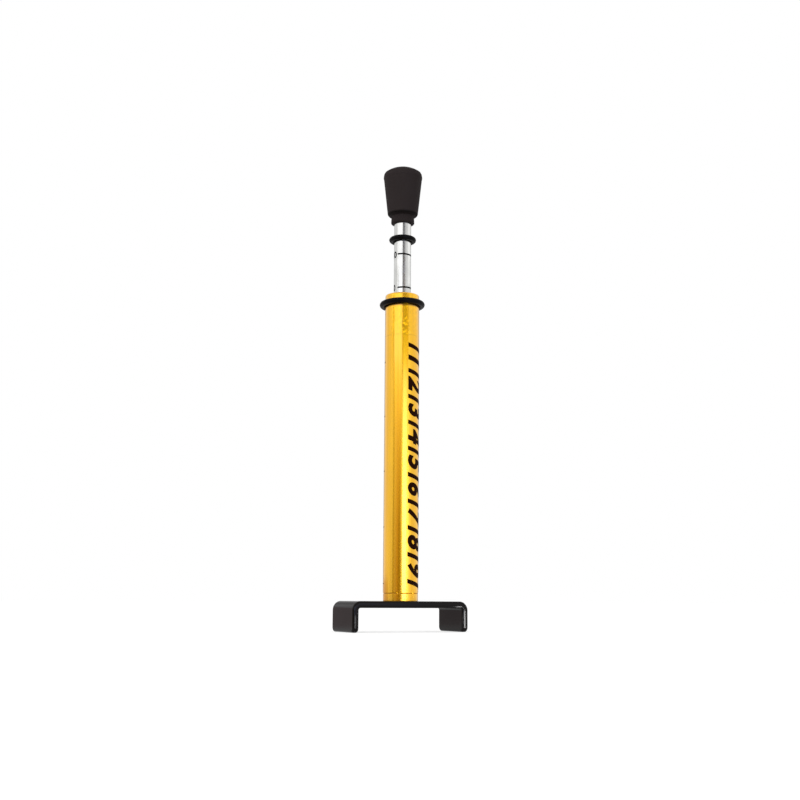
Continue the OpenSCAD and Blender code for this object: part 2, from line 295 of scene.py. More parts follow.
# %% Cards
def board(name, at_foot, at_head, *where, foot_colour=white, head_colour=white, late=False):
    """A card in a place that `panel` understands. Its brightness, as a share of the white background,
    and its colour change evenly from foot to head, or mostly near the head."""
    place, width, height = panel(*where)
    shade, wire = start_finish(name)
    low, high = where[2] * MM, where[3] * MM
    part = ((level(wire) - low) / (high - low)).held()
    fade = part * part if late else part
    face = wire.node("ShaderNodeEmission", None, {
        "Color": mixed(wire, fade, foot_colour, head_colour),
        "Strength": at_foot + (at_head - at_foot) * fade,
    })
    wire.node("ShaderNodeOutputMaterial", None, {"Surface": face})
    bm = bmesh.new()
    bmesh.ops.create_grid(bm, x_segments=1, y_segments=1, size=0.5)
    bmesh.ops.scale(bm, verts=bm.verts[:], vec=(width, height, 1))
    bmesh.ops.transform(bm, verts=bm.verts[:], matrix=place)
    hide_from_view(set_stage(bm, name, shade))
    print(name, "stands ready")


print("cards can be set")

# %% Cards for the barrel and the rod
board("low_glow", 8, 2.2, 8, 36, 0, 290, foot_colour=cool, head_colour=haze, late=True)
board("low_glow_side", 3.4, 1.3, 36, 52, 0, 300, foot_colour=haze)
board("low_glow_edge", 1.5, 1.15, 52, 66, 0, 300)
board("low_dim", 0.14, 1.45, -18, -1, 0, 300, foot_colour=brown, late=True)
board("low_dim_middle", 0.52, 1.4, -29, -18, 0, 300, foot_colour=brown, late=True)
board("low_dim_left", 0.65, 1.4, -45, -29, 0, 300, foot_colour=tan, late=True)
board("low_dim_line", 0.38, 0.75, -56, -45, 0, 300, foot_colour=tan, late=True)
board("low_dim_side", 0.85, 1.15, -76, -56, 0, 300)
board("cap_glow", 3.4, 1.7, -54, 0, 304, 392, foot_colour=haze)
board("cap_line", 0.5, 0.5, -65, -54, 304, 392)
board("cap_dim", 0.3, 0.3, 4, 43, 294, 392, foot_colour=brown, head_colour=brown)
board("rod_glow", 1.7, 1.7, -75, 0, 396, 600)
board("rod_glow_side", 1.05, 1.05, -102, -75, 396, 600)
board("rod_glow_right", 1.35, 1.35, 78, 125, 396, 600)
board("rod_dim", 0.15, 0.15, 2, 29, 396, 600)
board("rod_dim_right", 0.75, 0.75, 29, 52, 396, 600)
board("back_dim_left", 0.5, 0.5, -172, -146, 0, 700)
board("back_dim_right", 0.5, 0.5, 146, 172, 0, 700)

# %% [markdown]
# ## Cards for the legs
# In the photograph a thin line of light runs down the front of each leg, while the plate above and the sides
# stay dark. So cards hardly taller than the legs stand close before and beside them. Last, a brown card lies
# on the table and darkens the foot of the barrel.

# %% Small cards
rose = (1, 0.84, 0.84, 1)
board("right_leg_glow", 46, 46, 79, 85, 0.3, 9.4, 36)
board("right_leg_dim", 0.03, 0.03, 90, 150, 0.3, 12, 42)
board("left_leg_glow", 20, 20, -28, -19, 0.3, 7.0, 32)
board("left_leg_dim", 0.72, 0.72, -150, -85, 0.3, 24, 75, foot_colour=rose, head_colour=rose)
table_card_level = 0.3
table_card_size = (0.5, 0.7, 1)
table_card_place = (-0.22, -0.4, 0)
table_brown, wire = start_finish("table_brown")
face = wire.node("ShaderNodeEmission", None, {"Color": brown, "Strength": table_card_level})
wire.node("ShaderNodeOutputMaterial", None, {"Surface": face})
bm = bmesh.new()
bmesh.ops.create_grid(bm, x_segments=1, y_segments=1, size=0.5)
bmesh.ops.scale(bm, verts=bm.verts[:], vec=table_card_size)
bmesh.ops.translate(bm, verts=bm.verts[:], vec=table_card_place)
bmesh.ops.rotate(bm, verts=bm.verts[:], matrix=Matrix.Rotation(-yaw, 3, "Z"))
hide_from_view(set_stage(bm, "table_card", table_brown))
print("small cards ready")

# %% [markdown]
# ## Helpers for finishes
# Every finish below is made of a few noises in the piece's own coordinates, so no picture has to be wrapped
# round it. One helper makes a noise, one turns it into relief, and one closes the finish.

# %% Noise and relief helpers
def noise(wire, spread, detail=2.0):
    """Noise in object coordinates. The spread is the number of spots in a metre, along x, y and z."""
    place = wire.node("ShaderNodeTexCoord", out="Object")
    scaled = wire.node("ShaderNodeMapping", None, {"Vector": place, "Scale": spread})
    return wire.node("ShaderNodeTexNoise", None, {"Vector": scaled, "Scale": 1.0, "Detail": detail})


def relief(wire, height, depth, strength=1.0):
    """A bump map, its depth in millimetres."""
    sockets = {"Strength": strength, "Distance": depth * MM, "Height": height}
    return wire.node("ShaderNodeBump", None, sockets)


def close_finish(wire, sockets):
    """Sends a finish to the output of its material."""
    surface = wire.node("ShaderNodeBsdfPrincipled", None, sockets)
    wire.node("ShaderNodeOutputMaterial", None, {"Surface": surface})


print("noise and relief helpers ready")

# %% [markdown]
# ## Gold anodised barrel
# The barrel is drawn aluminium tube, dyed gold in the anodising bath. Drawing leaves fine streaks along the
# tube, and the dye takes a little unevenly. A noise that is stretched along the barrel gives the streaks,
# a slower one the clouds, and both move the colour and the roughness together. The upper end is rolled on
# to the cap, which leaves it faintly rippled down to a fine line, and a painted shadow of the rubber ring
# darkens the gold just under it.

# %% Gold finish
gold_finish, wire = start_finish("gold_anodised")
streaks = noise(wire, (1100, 1100, 9), 3.0)
clouds = noise(wire, (170, 170, 60), 2.0)
darker = (2.2 * streaks + 0.6 * clouds - 0.9).held()
dye = mixed(wire, darker, (0.945, 0.512, 0.009, 1), (0.80, 0.405, 0.004, 1))
tube_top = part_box("barrel")[1].z
rolled_length = 16.8 * MM
rolled_foot = tube_top - rolled_length
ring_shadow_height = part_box("deflection_ring")[0].z - 0.1 * MM
height = level(wire)
rolled = ((height - rolled_foot) / (0.4 * MM)).held() * ((tube_top - height) / (0.4 * MM)).held()
rolled_line = (1 - abs(height - rolled_foot) / (0.5 * MM)).held()
# Painted shadow: the gold is darker in a narrow band just under the rubber ring.
ring_painted_shadow = (1 - abs(height - ring_shadow_height) / (0.8 * MM)).held()
# The fine line at the foot of the rolled end, together with the painted shadow under the ring.
line_and_painted_shadow = 0.12 * rolled_line + 0.85 * ring_painted_shadow
ripples = noise(wire, (520, 520, 420), 2.0)
close_finish(wire, {
    "Base Color": mixed(wire, line_and_painted_shadow, dye, (0.06, 0.02, 0.001, 1)),
    "Metallic": 1.0,
    "Roughness": 0.16 + 0.09 * streaks + 0.05 * clouds,
    "Coat Weight": 0.75 + 0.1 * clouds,
    "Coat Roughness": 0.1,
    "Normal": relief(wire, 0.06 * streaks + 9 * rolled * (ripples - 0.5), 0.015),
})
print(gold_finish.name)

# %% [markdown]
# ## Bright rod
# The rod is bright drawn aluminium that was polished as it turned. That leaves hair lines around the rod, so
# this noise is wide across the axis and packed tight along it. Thumbs leave smears, which dull the shine.

# %% Rod finish
rod_finish, wire = start_finish("bright_rod")
hair_lines = noise(wire, (90, 90, 5200), 2.0)
smears = (2.6 * noise(wire, (240, 240, 110), 3.0) - 0.8).held()
close_finish(wire, {
    "Base Color": mixed(wire, smears, (0.68, 0.68, 0.665, 1), (0.53, 0.53, 0.515, 1)),
    "Metallic": 1.0,
    "Roughness": 0.1 + 0.05 * hair_lines + 0.08 * smears,
    "Normal": relief(wire, hair_lines, 0.0003, 0.05),
})
print(rod_finish.name)

# %% [markdown]
# ## Black powder coat
# The cradle's powder coat melts and flows in the oven, and sets with a faint orange peel. Two sizes of noise
# in a bump map give the peel, and the roughness follows it a little.

# %% Powder coat finish
coat_finish, wire = start_finish("black_coat")
peel = noise(wire, (900, 900, 900), 2.0)
patches = noise(wire, (150, 150, 150), 3.0)
close_finish(wire, {
    "Base Color": mixed(wire, patches, (0.0078, 0.0062, 0.0062, 1), (0.0110, 0.0090, 0.0090, 1)),
    "Roughness": 0.1 + 0.06 * patches + 0.04 * peel,
    "Specular IOR Level": 0.09,
    "Normal": relief(wire, peel, 0.016, 0.3),
})
print(coat_finish.name)

# %% [markdown]
# ## Soft knob
# The knob is moulded from soft rubber, matt and a little warm in tone. A fine noise gives its grain, a slow
# one the bloom that old rubber gets, and painted shade darkens the crease above the neck and the neck below
# it.

# %% Knob finish
knob_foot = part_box("knob")[0].z
crease_height = knob_foot + 4.5 * MM
knob_finish, wire = start_finish("knob_rubber")
grain = noise(wire, (2600, 2600, 2600), 2.0)
bloom = noise(wire, (130, 130, 90), 3.0)
height = level(wire)
# Painted shade: darker in the crease above the neck, and a little darker on the neck below it.
crease_painted_shade = (1 - abs(height - crease_height) / MM).held()
neck_painted_shade = 0.12 * ((crease_height - height) / (0.5 * MM)).held()
rubber = mixed(wire, bloom, (0.0315, 0.0238, 0.0238, 1), (0.0400, 0.0318, 0.0318, 1))
knob_painted_shade = (crease_painted_shade + neck_painted_shade).held()
close_finish(wire, {
    "Base Color": mixed(wire, knob_painted_shade, rubber, (0.005, 0.0042, 0.0035, 1)),
    "Roughness": 0.62 + 0.12 * bloom,
    "Specular IOR Level": 0.05,
    "Normal": relief(wire, grain, 0.012, 0.4),
})
print(knob_finish.name)

# %% [markdown]
# ## Rubber of the rings
# The two rings are moulded from a blacker, denser rubber with a faint shine. Fingers wipe it here and there,
# so a noise changes its tone and its roughness together.

# %% Ring finish
ring_finish, wire = start_finish("ring_rubber")
pores = noise(wire, (3200, 3200, 3200), 2.0)
wipes = noise(wire, (420, 420, 420), 3.0)
close_finish(wire, {
    "Base Color": mixed(wire, wipes, (0.0030, 0.0027, 0.0032, 1), (0.0065, 0.0060, 0.0066, 1)),
    "Roughness": 0.34 + 0.14 * wipes,
    "Specular IOR Level": 0.045,
    "Normal": relief(wire, pores, 0.006, 0.35),
})
print(ring_finish.name)

# %% [markdown]
# ## Ink
# The figures are screen printed. The ink lies on the metal as a thin skin, brown-black on the gold barrel and
# black on the rod. The skin is a little uneven, which shows as a change in shine.

# %% Ink finishes
def ink(name, light, dark):
    """A thin skin of ink in two tones."""
    material, wire = start_finish(name)
    skin = noise(wire, (1500, 1500, 1500), 3.0)
    close_finish(wire, {
        "Base Color": mixed(wire, skin, dark, light),
        "Roughness": 0.45 + 0.15 * skin,
        "Specular IOR Level": 0.02,
    })
    print(name)
    return material


barrel_ink = ink("barrel_ink", (0.030, 0.0065, 0.0008, 1), (0.016, 0.003, 0.0004, 1))
rod_ink = ink("rod_ink", (0.010, 0.010, 0.011, 1), (0.005, 0.005, 0.006, 1))

# %% [markdown]
# ## Finishes of the works
# The spring, piston and fasteners sit inside the barrel. They still get true finishes, because the model can
# be opened: plated steel, dark spring wire, turned brass and two kinds of turned acetal.

# %% Metal and acetal for the works
def works_finish(name, light, dark, metallic, rough, spread):
    """A plain finish with tool marks: two tones, a roughness and the spread of its noise."""
    material, wire = start_finish(name)
    marks = noise(wire, spread, 3.0)
    close_finish(wire, {
        "Base Color": mixed(wire, marks, light, dark),
        "Metallic": metallic,
        "Roughness": rough + 0.15 * marks,
        "Normal": relief(wire, marks, 0.003, 0.4),
    })
    print(name)
    return material


around = (120, 120, 4200)
even = (900, 900, 900)
metal = 1.0
plastic = 0.0
plated_finish = works_finish(
    "plated_steel", (0.72, 0.72, 0.70, 1), (0.58, 0.58, 0.55, 1), metal, 0.22, around)
wire_finish = works_finish(
    "spring_steel", (0.30, 0.30, 0.31, 1), (0.20, 0.20, 0.21, 1), metal, 0.28, even)
brass_finish = works_finish(
    "piston_brass", (0.76, 0.56, 0.24, 1), (0.62, 0.43, 0.17, 1), metal, 0.2, around)
pale_finish = works_finish(
    "pale_acetal", (0.78, 0.75, 0.68, 1), (0.70, 0.67, 0.60, 1), plastic, 0.4, even)
dark_finish = works_finish(
    "dark_acetal", (0.03, 0.03, 0.03, 1), (0.02, 0.02, 0.02, 1), plastic, 0.45, even)

# %% [markdown]
# ## Turned pieces
# Barrel, cap, plug, rod and knob come from a lathe or a round mould. Each is half a section that `spin`
# carries once round the axis. The rims are then rounded with `bevel`, because a bright line along each edge
# makes a turned part look real. Weighted normals keep the long faces straight in their reflections.

# %% Lathe helpers
def turned(outline, closed=True, steps=144):
    """Spins an outline of (radius, height) pairs in mm once round the axis."""
    bm = bmesh.new()
    corners = [bm.verts.new((radius * MM, 0, height * MM)) for radius, height in outline]
    for first, second in zip(corners, corners[1:]):
        bm.edges.new((first, second))
    if closed:
        bm.edges.new((corners[-1], corners[0]))
    half = bm.verts[:] + bm.edges[:]
    bmesh.ops.spin(bm, geom=half, axis=(0, 0, 1), angle=math.tau, steps=steps, use_merge=True)
    bmesh.ops.remove_doubles(bm, verts=bm.verts[:], dist=1e-7)
    bmesh.ops.recalc_face_normals(bm, faces=bm.faces[:])
    return bm


def on_rim(vert, radius, height):
    """Whether a corner lies on the circle at a radius and a height in mm."""
    return abs(vert.co.xy.length - radius * MM) < 2e-6 and abs(vert.co.z - height * MM) < 2e-6


def round_rims(bm, width, segments, *rims):
    """Rounds the circular edges at these (radius, height) places, in mm."""
    picked = []
    for edge in bm.edges:
        if any(all(on_rim(vert, *rim) for vert in edge.verts) for rim in rims):
            picked.append(edge)
    bmesh.ops.bevel(bm, geom=picked, offset=width * MM, segments=segments, affect="EDGES",
                    profile=0.5, material=-1)


print("lathe ready")

# %% [markdown]
# ## Putting a piece into the scene
# Every piece goes in the same way: smooth faces, sharp where they meet at an angle, its finish, the body that
# it rides on and the CAD nodes that it stands for.

# %% Putting a piece into the scene
crease_angle = math.radians(38)


def add_piece(bm, name, body, slot, finish, *nodes):
    """Makes a bmesh a piece of the tester that rides on a body and stands for CAD nodes."""
    mesh = bpy.data.meshes.new(name)
    bm.to_mesh(mesh)
    bm.free()
    mesh.shade_smooth()
    mesh.set_sharp_from_angle(angle=crease_angle)
    mesh.materials.append(finish)
    piece = bpy.data.objects.new(name, mesh)
    bpy.context.scene.collection.objects.link(piece)
    weights = piece.modifiers.new("even_shading", "WEIGHTED_NORMAL")
    weights.keep_sharp = True
    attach(piece, body)
    if nodes:
        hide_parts(*nodes)
    print(name, "on", body, "with", len(mesh.polygons), "faces")
    return piece


def reach(node):
    """Outer radius, foot and top of a turned CAD node, in mm."""
    low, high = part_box(node)
    return high.x / MM, low.z / MM, high.z / MM


print("pieces can be placed")

# %% [markdown]
# ## Barrel
# The tube has two bores: the piston runs in the wide upper one, the spring stands in the narrow lower one,
# and the ledge between them ends the stroke. A cylinder with a hole could do for the eye, but the model can
# be cut open, so the true section is spun.

# %% Barrel
barrel_r, barrel_foot, barrel_top = reach("barrel")
spring_bore_r = 5.6
piston_bore_r = 6.3
ledge_height = 106.8
bm = turned([
    (spring_bore_r, barrel_foot), (barrel_r, barrel_foot), (barrel_r, barrel_top),
    (piston_bore_r, barrel_top), (piston_bore_r, ledge_height), (spring_bore_r, ledge_height),
])
round_rims(bm, 0.3, 4, (barrel_r, barrel_foot), (barrel_r, barrel_top))
add_piece(bm, "barrel_tube", "housing", "gold_anodised", gold_finish, "barrel")

# %% [markdown]
# ## Cap and plug
# The cap closes the top of the tube with a flange and a spigot, and holds the bush that guides the rod. The
# plug closes the foot and takes the screw of the cradle in a blind hole. The seam between a flange and the
# tube is a thin dark line, which small bevels on both sides give.

# %% Top cap
flange_r, cap_foot, cap_top = reach("top_cap")
cap_spigot_r = piston_bore_r - 0.02
bush_seat_r = 5.27
mouth_r = 4.1
lip_height = cap_top - 1.6
bm = turned([
    (bush_seat_r, cap_foot), (cap_spigot_r, cap_foot), (cap_spigot_r, barrel_top), (flange_r, barrel_top),
    (flange_r, cap_top), (mouth_r, cap_top), (mouth_r, lip_height), (bush_seat_r, lip_height),
])
round_rims(bm, 0.8, 6, (flange_r, cap_top))
round_rims(bm, 0.4, 3, (mouth_r, cap_top))
round_rims(bm, 0.2, 3, (flange_r, barrel_top), (cap_spigot_r, cap_foot))
add_piece(bm, "cap_turning", "housing", "gold_anodised", gold_finish, "top_cap")

# %% End plug
plug_r, plug_foot, plug_top = reach("end_plug")
plug_spigot_r = spring_bore_r - 0.02
thread_r = 2.52
thread_end = plug_foot + 9.0
bm = turned([
    (0, thread_end + thread_r / 2), (thread_r, thread_end), (thread_r, plug_foot), (plug_r, plug_foot),
    (plug_r, barrel_foot), (plug_spigot_r, barrel_foot), (plug_spigot_r, plug_top), (0, plug_top),
], closed=False)
round_rims(bm, 0.2, 3, (plug_r, plug_foot), (plug_r, barrel_foot))
round_rims(bm, 0.4, 3, (plug_spigot_r, plug_top))
add_piece(bm, "plug_turning", "housing", "gold_anodised", gold_finish, "end_plug")

# %% [markdown]
# ## Rod
# The rod ends in a thinner tenon with a groove, where a clip holds it in the piston and lets it turn. It is
# spun in one piece, because it is turned from one bar.

# %% Rod
rod_r, rod_foot, rod_top = reach("plunger_rod")
tenon_r = 2.8
groove_r = 2.0
groove_low = rod_foot + 0.78
groove_top = rod_foot + 1.52
shoulder = 138.0
bm = turned([
    (0, rod_foot), (tenon_r, rod_foot), (tenon_r, groove_low), (groove_r, groove_low),
    (groove_r, groove_top), (tenon_r, groove_top), (tenon_r, shoulder), (rod_r, shoulder),
    (rod_r, rod_top), (0, rod_top),
], closed=False)
round_rims(bm, 0.2, 3, (tenon_r, rod_foot), (rod_r, shoulder))
round_rims(bm, 0.4, 3, (rod_r, rod_top))
add_piece(bm, "rod_turning", "plunger", "bright_rod", rod_finish, "plunger_rod")

# %% [markdown]
# ## Knob
# The knob is thick at the dome and narrow at the neck, so that a thumb finds it. Its dome is part of a ball,
# an arc that `spin` draws from the crown. Then the whole outline is spun like the metal pieces, and the rims
# get the soft radii of a moulding.

# %% Knob outline
knob_r, knob_low, knob_top = reach("knob")
dome_height = knob_top - 3.1
rim_height = dome_height - 2.8
shoulder_r = knob_r - 0.3
neck_r = 5.55
waist_r = 5.35
neck_height = knob_low + 3.8
body_low_r = 7.05
body_top_r = knob_r - 0.2
socket_r = 4.02
socket_height = 209.4
dome_r = (shoulder_r ** 2 + (knob_top - dome_height) ** 2) / (2 * (knob_top - dome_height))
dome_sweep = math.asin(shoulder_r / dome_r)
dome = bmesh.new()
crown = dome.verts.new((0, 0, knob_top))
bmesh.ops.spin(dome, geom=[crown], cent=(0, 0, knob_top - dome_r), axis=(0, 1, 0),
               angle=dome_sweep, steps=20)
dome_line = sorted((abs(vert.co.x), vert.co.z) for vert in dome.verts)
dome.free()
print("dome of", len(dome_line), "points and radius", round(dome_r, 2))

# %% Knob
bead_height = rim_height + 0.7
bm = turned([
    (0, socket_height), (socket_r, socket_height), (socket_r, knob_low), (neck_r, knob_low),
    (waist_r, neck_height), (body_low_r, neck_height), (body_top_r, rim_height), (knob_r, bead_height),
    *reversed(dome_line),
], closed=False)
round_rims(bm, 0.7, 5, (neck_r, knob_low))
round_rims(bm, 0.35, 3, (waist_r, neck_height))
round_rims(bm, 1.4, 7, (body_low_r, neck_height))
round_rims(bm, 0.35, 3, (body_top_r, rim_height), (knob_r, bead_height))
round_rims(bm, 0.8, 5, (shoulder_r, dome_height))
add_piece(bm, "knob_moulding", "plunger", "knob_rubber", knob_finish, "knob")

# %% [markdown]
# ## Rubber rings
# Each ring is a circle of cord spun round the axis. Moulded rings keep a hair of flash where the two halves
# of the mould met, so the outermost point of the circle is pulled out a little. The large ring has been
# pushed along by thumb and sits slightly askew.

# %% Rubber rings
flash_height = 0.02


def rubber_ring(name, node, body, cord_d, lean, tip):
    """A ring of round cord in the place of a CAD ring. It leans to the camera's left and its near side
    tips up, both in degrees."""
    outer_r, low, high = reach(node)
    bm = bmesh.new()
    bmesh.ops.create_circle(bm, segments=28, radius=cord_d / 2 * MM)
    bmesh.ops.rotate(bm, verts=bm.verts[:], matrix=Matrix.Rotation(math.pi / 2, 3, "X"))
    flash = [max(bm.verts, key=lambda vert: vert.co.x)]
    bmesh.ops.translate(bm, verts=flash, vec=(flash_height * MM, 0, 0))
    bmesh.ops.translate(bm, verts=bm.verts[:], vec=((outer_r - cord_d / 2) * MM, 0, 0))
    section = bm.verts[:] + bm.edges[:]
    bmesh.ops.spin(bm, geom=section, axis=(0, 0, 1), angle=math.tau, steps=112, use_merge=True)
    bmesh.ops.remove_doubles(bm, verts=bm.verts[:], dist=1e-7)
    bmesh.ops.recalc_face_normals(bm, faces=bm.faces[:])
    sight = Vector((math.sin(yaw), math.cos(yaw), 0))
    aside = Vector((math.cos(yaw), -math.sin(yaw), 0))
    bmesh.ops.rotate(bm, verts=bm.verts[:], matrix=Matrix.Rotation(math.radians(-lean), 3, sight))
    bmesh.ops.rotate(bm, verts=bm.verts[:], matrix=Matrix.Rotation(math.radians(-tip), 3, aside))
    bmesh.ops.translate(bm, verts=bm.verts[:], vec=(0, 0, (low + high) / 2 * MM))
    add_piece(bm, name, body, "ring_rubber", ring_finish, node)


barrel_cord_d = 2.5
rod_cord_d = 2.3
barrel_ring_lean = 0.6
ring_tip = 2.0
rubber_ring("barrel_ring", "deflection_ring", "deflection_marker", barrel_cord_d, barrel_ring_lean, ring_tip)
rubber_ring("rod_ring", "force_ring", "force_marker", rod_cord_d, 0.0, ring_tip)

# %% [markdown]
# ## Cradle
# The cradle is a strip of steel that was sheared, bent twice and powder coated. It is made the same way: a
# small rectangle is extruded up a leg, spun round the bend, drawn across the plate and down again. The strip
# is rolled with round edges, so wide bevels follow, and the front edges of the legs catch a line of light.

# %% Strip and its bends
cradle_low, cradle_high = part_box("cradle")
strap_t = 3.0
bend_r = 1.0
strap_w = (cradle_high.y - cradle_low.y) / MM
gap_half = cradle_high.x / MM - strap_t
plate_top = cradle_high.z / MM
plate_low = plate_top - strap_t
bend_x = gap_half - bend_r
bend_z = plate_low - bend_r


def grow(bm, end, x, z):
    """Extrudes the strap's end face by x and z, in mm."""
    grown = bmesh.ops.extrude_face_region(bm, geom=end)["geom"]
    verts = [item for item in grown if isinstance(item, bmesh.types.BMVert)]
    bmesh.ops.translate(bm, verts=verts, vec=(x * MM, 0, z * MM))
    return [item for item in grown if isinstance(item, bmesh.types.BMFace)]


def bend(bm, end, x):
    """Turns the strap's end face by a quarter turn round the bend at x."""
    edges = [edge for face in end for edge in face.edges]
    verts = [vert for face in end for vert in face.verts]
    corner = end + edges + verts
    turned_end = bmesh.ops.spin(bm, geom=corner, cent=(x * MM, 0, bend_z * MM), axis=(0, 1, 0),
                                angle=math.pi / 2, steps=14)["geom_last"]
    return [item for item in turned_end if isinstance(item, bmesh.types.BMFace)]


def clear_inside(bm):
    """Takes out the old end faces that a spin can leave inside a solid."""
    inside = [face for face in bm.faces if not any(edge.is_manifold for edge in face.edges)]
    bmesh.ops.delete(bm, geom=inside, context="FACES_ONLY")
    return len(inside)


print("strip of", round(strap_w, 2), "by", strap_t, "mm")

# %% Bent strap
bm = bmesh.new()
bmesh.ops.create_grid(bm, x_segments=1, y_segments=1, size=0.5 * MM)
bmesh.ops.scale(bm, verts=bm.verts[:], vec=(strap_t, strap_w, 1))
bmesh.ops.translate(bm, verts=bm.verts[:], vec=(-(gap_half + strap_t / 2) * MM, 0, 0))
end = grow(bm, bm.faces[:], 0, bend_z)
end = bend(bm, end, -bend_x)
end = grow(bm, end, 2 * bend_x, 0)
end = bend(bm, end, bend_x)
end = grow(bm, end, 0, -bend_z)
cleared = clear_inside(bm)
bmesh.ops.recalc_face_normals(bm, faces=bm.faces[:])
print("strap of", len(bm.faces), "faces,", cleared, "taken out inside")

# %% [markdown]
# ## Edges of the cradle
# The corners of the feet are rounded first, as a punch would cut them. Then all other edges are broken: a
# little less inside the cradle, where the two bends leave less room.

# %% Strap edges
foot_corner_r = 2.0
inner_edge_r = 0.9
outer_edge_r = 1.0
sharp_angle = math.radians(60)


def sharp_edges(bm):
    """The edges where two faces meet at a clear angle."""
    return [edge for edge in bm.edges if edge.is_manifold and edge.calc_face_angle() > sharp_angle]


def is_inner(vert):
    """Whether a corner lies on the inside of the cradle."""
    return abs(vert.co.x) < (gap_half + 0.01) * MM and vert.co.z < (plate_low + 0.01) * MM


foot_corners = []
for edge in sharp_edges(bm):
    across = abs(edge.verts[0].co.x - edge.verts[1].co.x) > 0.9 * strap_t * MM
    at_foot = all(vert.co.z < 0.01 * MM for vert in edge.verts)
    if across and at_foot:
        foot_corners.append(edge)
bmesh.ops.bevel(bm, geom=foot_corners, offset=foot_corner_r * MM, segments=8, affect="EDGES",
                profile=0.5, material=-1)
inner = [edge for edge in sharp_edges(bm) if all(is_inner(vert) for vert in edge.verts)]
bmesh.ops.bevel(bm, geom=inner, offset=inner_edge_r * MM, segments=6, affect="EDGES",
                profile=0.5, material=-1)
outer = [edge for edge in sharp_edges(bm) if not any(is_inner(vert) for vert in edge.verts)]
bmesh.ops.bevel(bm, geom=outer, offset=outer_edge_r * MM, segments=6, affect="EDGES",
                profile=0.5, material=-1)
print(len(foot_corners), "foot corners,", len(inner), "inner and", len(outer), "outer edges rounded")

# %% [markdown]
# ## Countersunk hole
# The screw that holds the cradle sits in a countersunk hole. The two large faces of the plate are taken out,
# circles are drawn for the rims of the hole, and the plate is filled again around them. A boolean could cut
# the hole too, but this leaves clean rims.

# %% Countersunk hole
screw_r = 2.52
sink_r = 4.62
sink_depth = sink_r - screw_r


def widest_face(bm, height):
    """The largest face that lies at a height in mm."""
    flat = [face for face in bm.faces if abs(face.calc_center_median().z - height * MM) < 1e-5]
    return max(flat, key=lambda face: face.calc_area())


def hole_rim(bm, radius, height):
    """The edges of a new circle round the axis, in mm."""
    lift = Matrix.Translation((0, 0, height * MM))
    made = bmesh.ops.create_circle(bm, segments=48, radius=radius * MM, matrix=lift)
    return list({edge for vert in made["verts"] for edge in vert.link_edges})


def drill(bm, radius, height):
    """Takes out the large face at a height, fills it again round a hole, and gives the rim of the hole."""
    face = widest_face(bm, height)
    border = face.edges[:]
    bmesh.ops.delete(bm, geom=[face], context="FACES_ONLY")
    rim = hole_rim(bm, radius, height)
    bmesh.ops.triangle_fill(bm, edges=border + rim, use_beauty=True)
    return rim


low_rim = drill(bm, sink_r, plate_low)
high_rim = drill(bm, screw_r, plate_top)
throat = hole_rim(bm, screw_r, plate_low + sink_depth)
bmesh.ops.bridge_loops(bm, edges=low_rim + throat)
bmesh.ops.bridge_loops(bm, edges=throat + high_rim)
bmesh.ops.recalc_face_normals(bm, faces=bm.faces[:])
add_piece(bm, "cradle_strap", "housing", "black_coat", coat_finish, "cradle")

# %% [markdown]
# ## Spring
# The spring that measures the force has a closed turn at each end and open turns between. A screw is a spin
# that also climbs: at each step the wire's section turns a little and moves up a little.

# %% Spring
_, spring_foot, spring_top = reach("spring")
wire_d = 1.5
coil_d = 10.6
coil_r = coil_d / 2 - wire_d / 2
closed_pitch = wire_d * 1.04
open_turns = 26
open_pitch = (spring_top - spring_foot - wire_d - 2 * closed_pitch) / open_turns
turn_steps = 28
bm = bmesh.new()
bmesh.ops.create_circle(bm, cap_ends=True, segments=12, radius=wire_d / 2 * MM)
bmesh.ops.rotate(bm, verts=bm.verts[:], matrix=Matrix.Rotation(math.pi / 2, 3, "X"))
bmesh.ops.translate(bm, verts=bm.verts[:], vec=(coil_r * MM, 0, (spring_foot + wire_d / 2) * MM))
section = bm.verts[:] + bm.edges[:] + bm.faces[:]
for turns, pitch_now in ((1, closed_pitch), (open_turns, open_pitch), (1, closed_pitch)):
    climb = (0, 0, pitch_now / turn_steps * MM)
    section = bmesh.ops.spin(bm, geom=section, axis=(0, 0, 1), angle=math.tau * turns,
                             steps=turns * turn_steps, dvec=climb)["geom_last"]
clear_inside(bm)
bmesh.ops.recalc_face_normals(bm, faces=bm.faces[:])
coil = add_piece(bm, "spring_coil", "housing", "spring_steel", wire_finish, "spring")
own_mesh(coil)

# %% [markdown]
# ## Printed figures
# The barrel carries a strip of bold leaning figures that reads downwards, and the rod carries the marks of
# the force. Print could be a picture, but small figures stay crisp as geometry. Each is a text object that
# is made a mesh, cut into strips, given the thickness of ink and rolled on to the metal.

# %% Flat figures
def figure(text, tall, lean=0.0, bold=0.0):
    """Flat figures in mm, centred on x, with their foot at y = 0."""
    curve = bpy.data.curves.new("figure", "FONT")
    curve.body = text
    curve.align_x = "CENTER"
    curve.shear = lean
    curve.offset = bold
    curve.fill_mode = "FRONT"
    curve.resolution_u = 5
    holder = bpy.data.objects.new("figure", curve)
    bpy.context.scene.collection.objects.link(holder)
    flat = bpy.data.meshes.new_from_object(holder.evaluated_get(bpy.context.evaluated_depsgraph_get()))
    bm = bmesh.new()
    bm.from_mesh(flat)
    bpy.data.objects.remove(holder)
    bpy.data.curves.remove(curve)
    bpy.data.meshes.remove(flat)
    inner_edges = [edge for edge in bm.edges if edge.is_manifold]
    bmesh.ops.beautify_fill(bm, faces=bm.faces[:], edges=inner_edges, method="ANGLE")
    foot = min(vert.co.y for vert in bm.verts)
    scale = tall / (max(vert.co.y for vert in bm.verts) - foot)
    bmesh.ops.translate(bm, verts=bm.verts[:], vec=(0, -foot, 0))
    bmesh.ops.scale(bm, verts=bm.verts[:], vec=(scale, scale, scale))
    return bm


print("figures can be set")

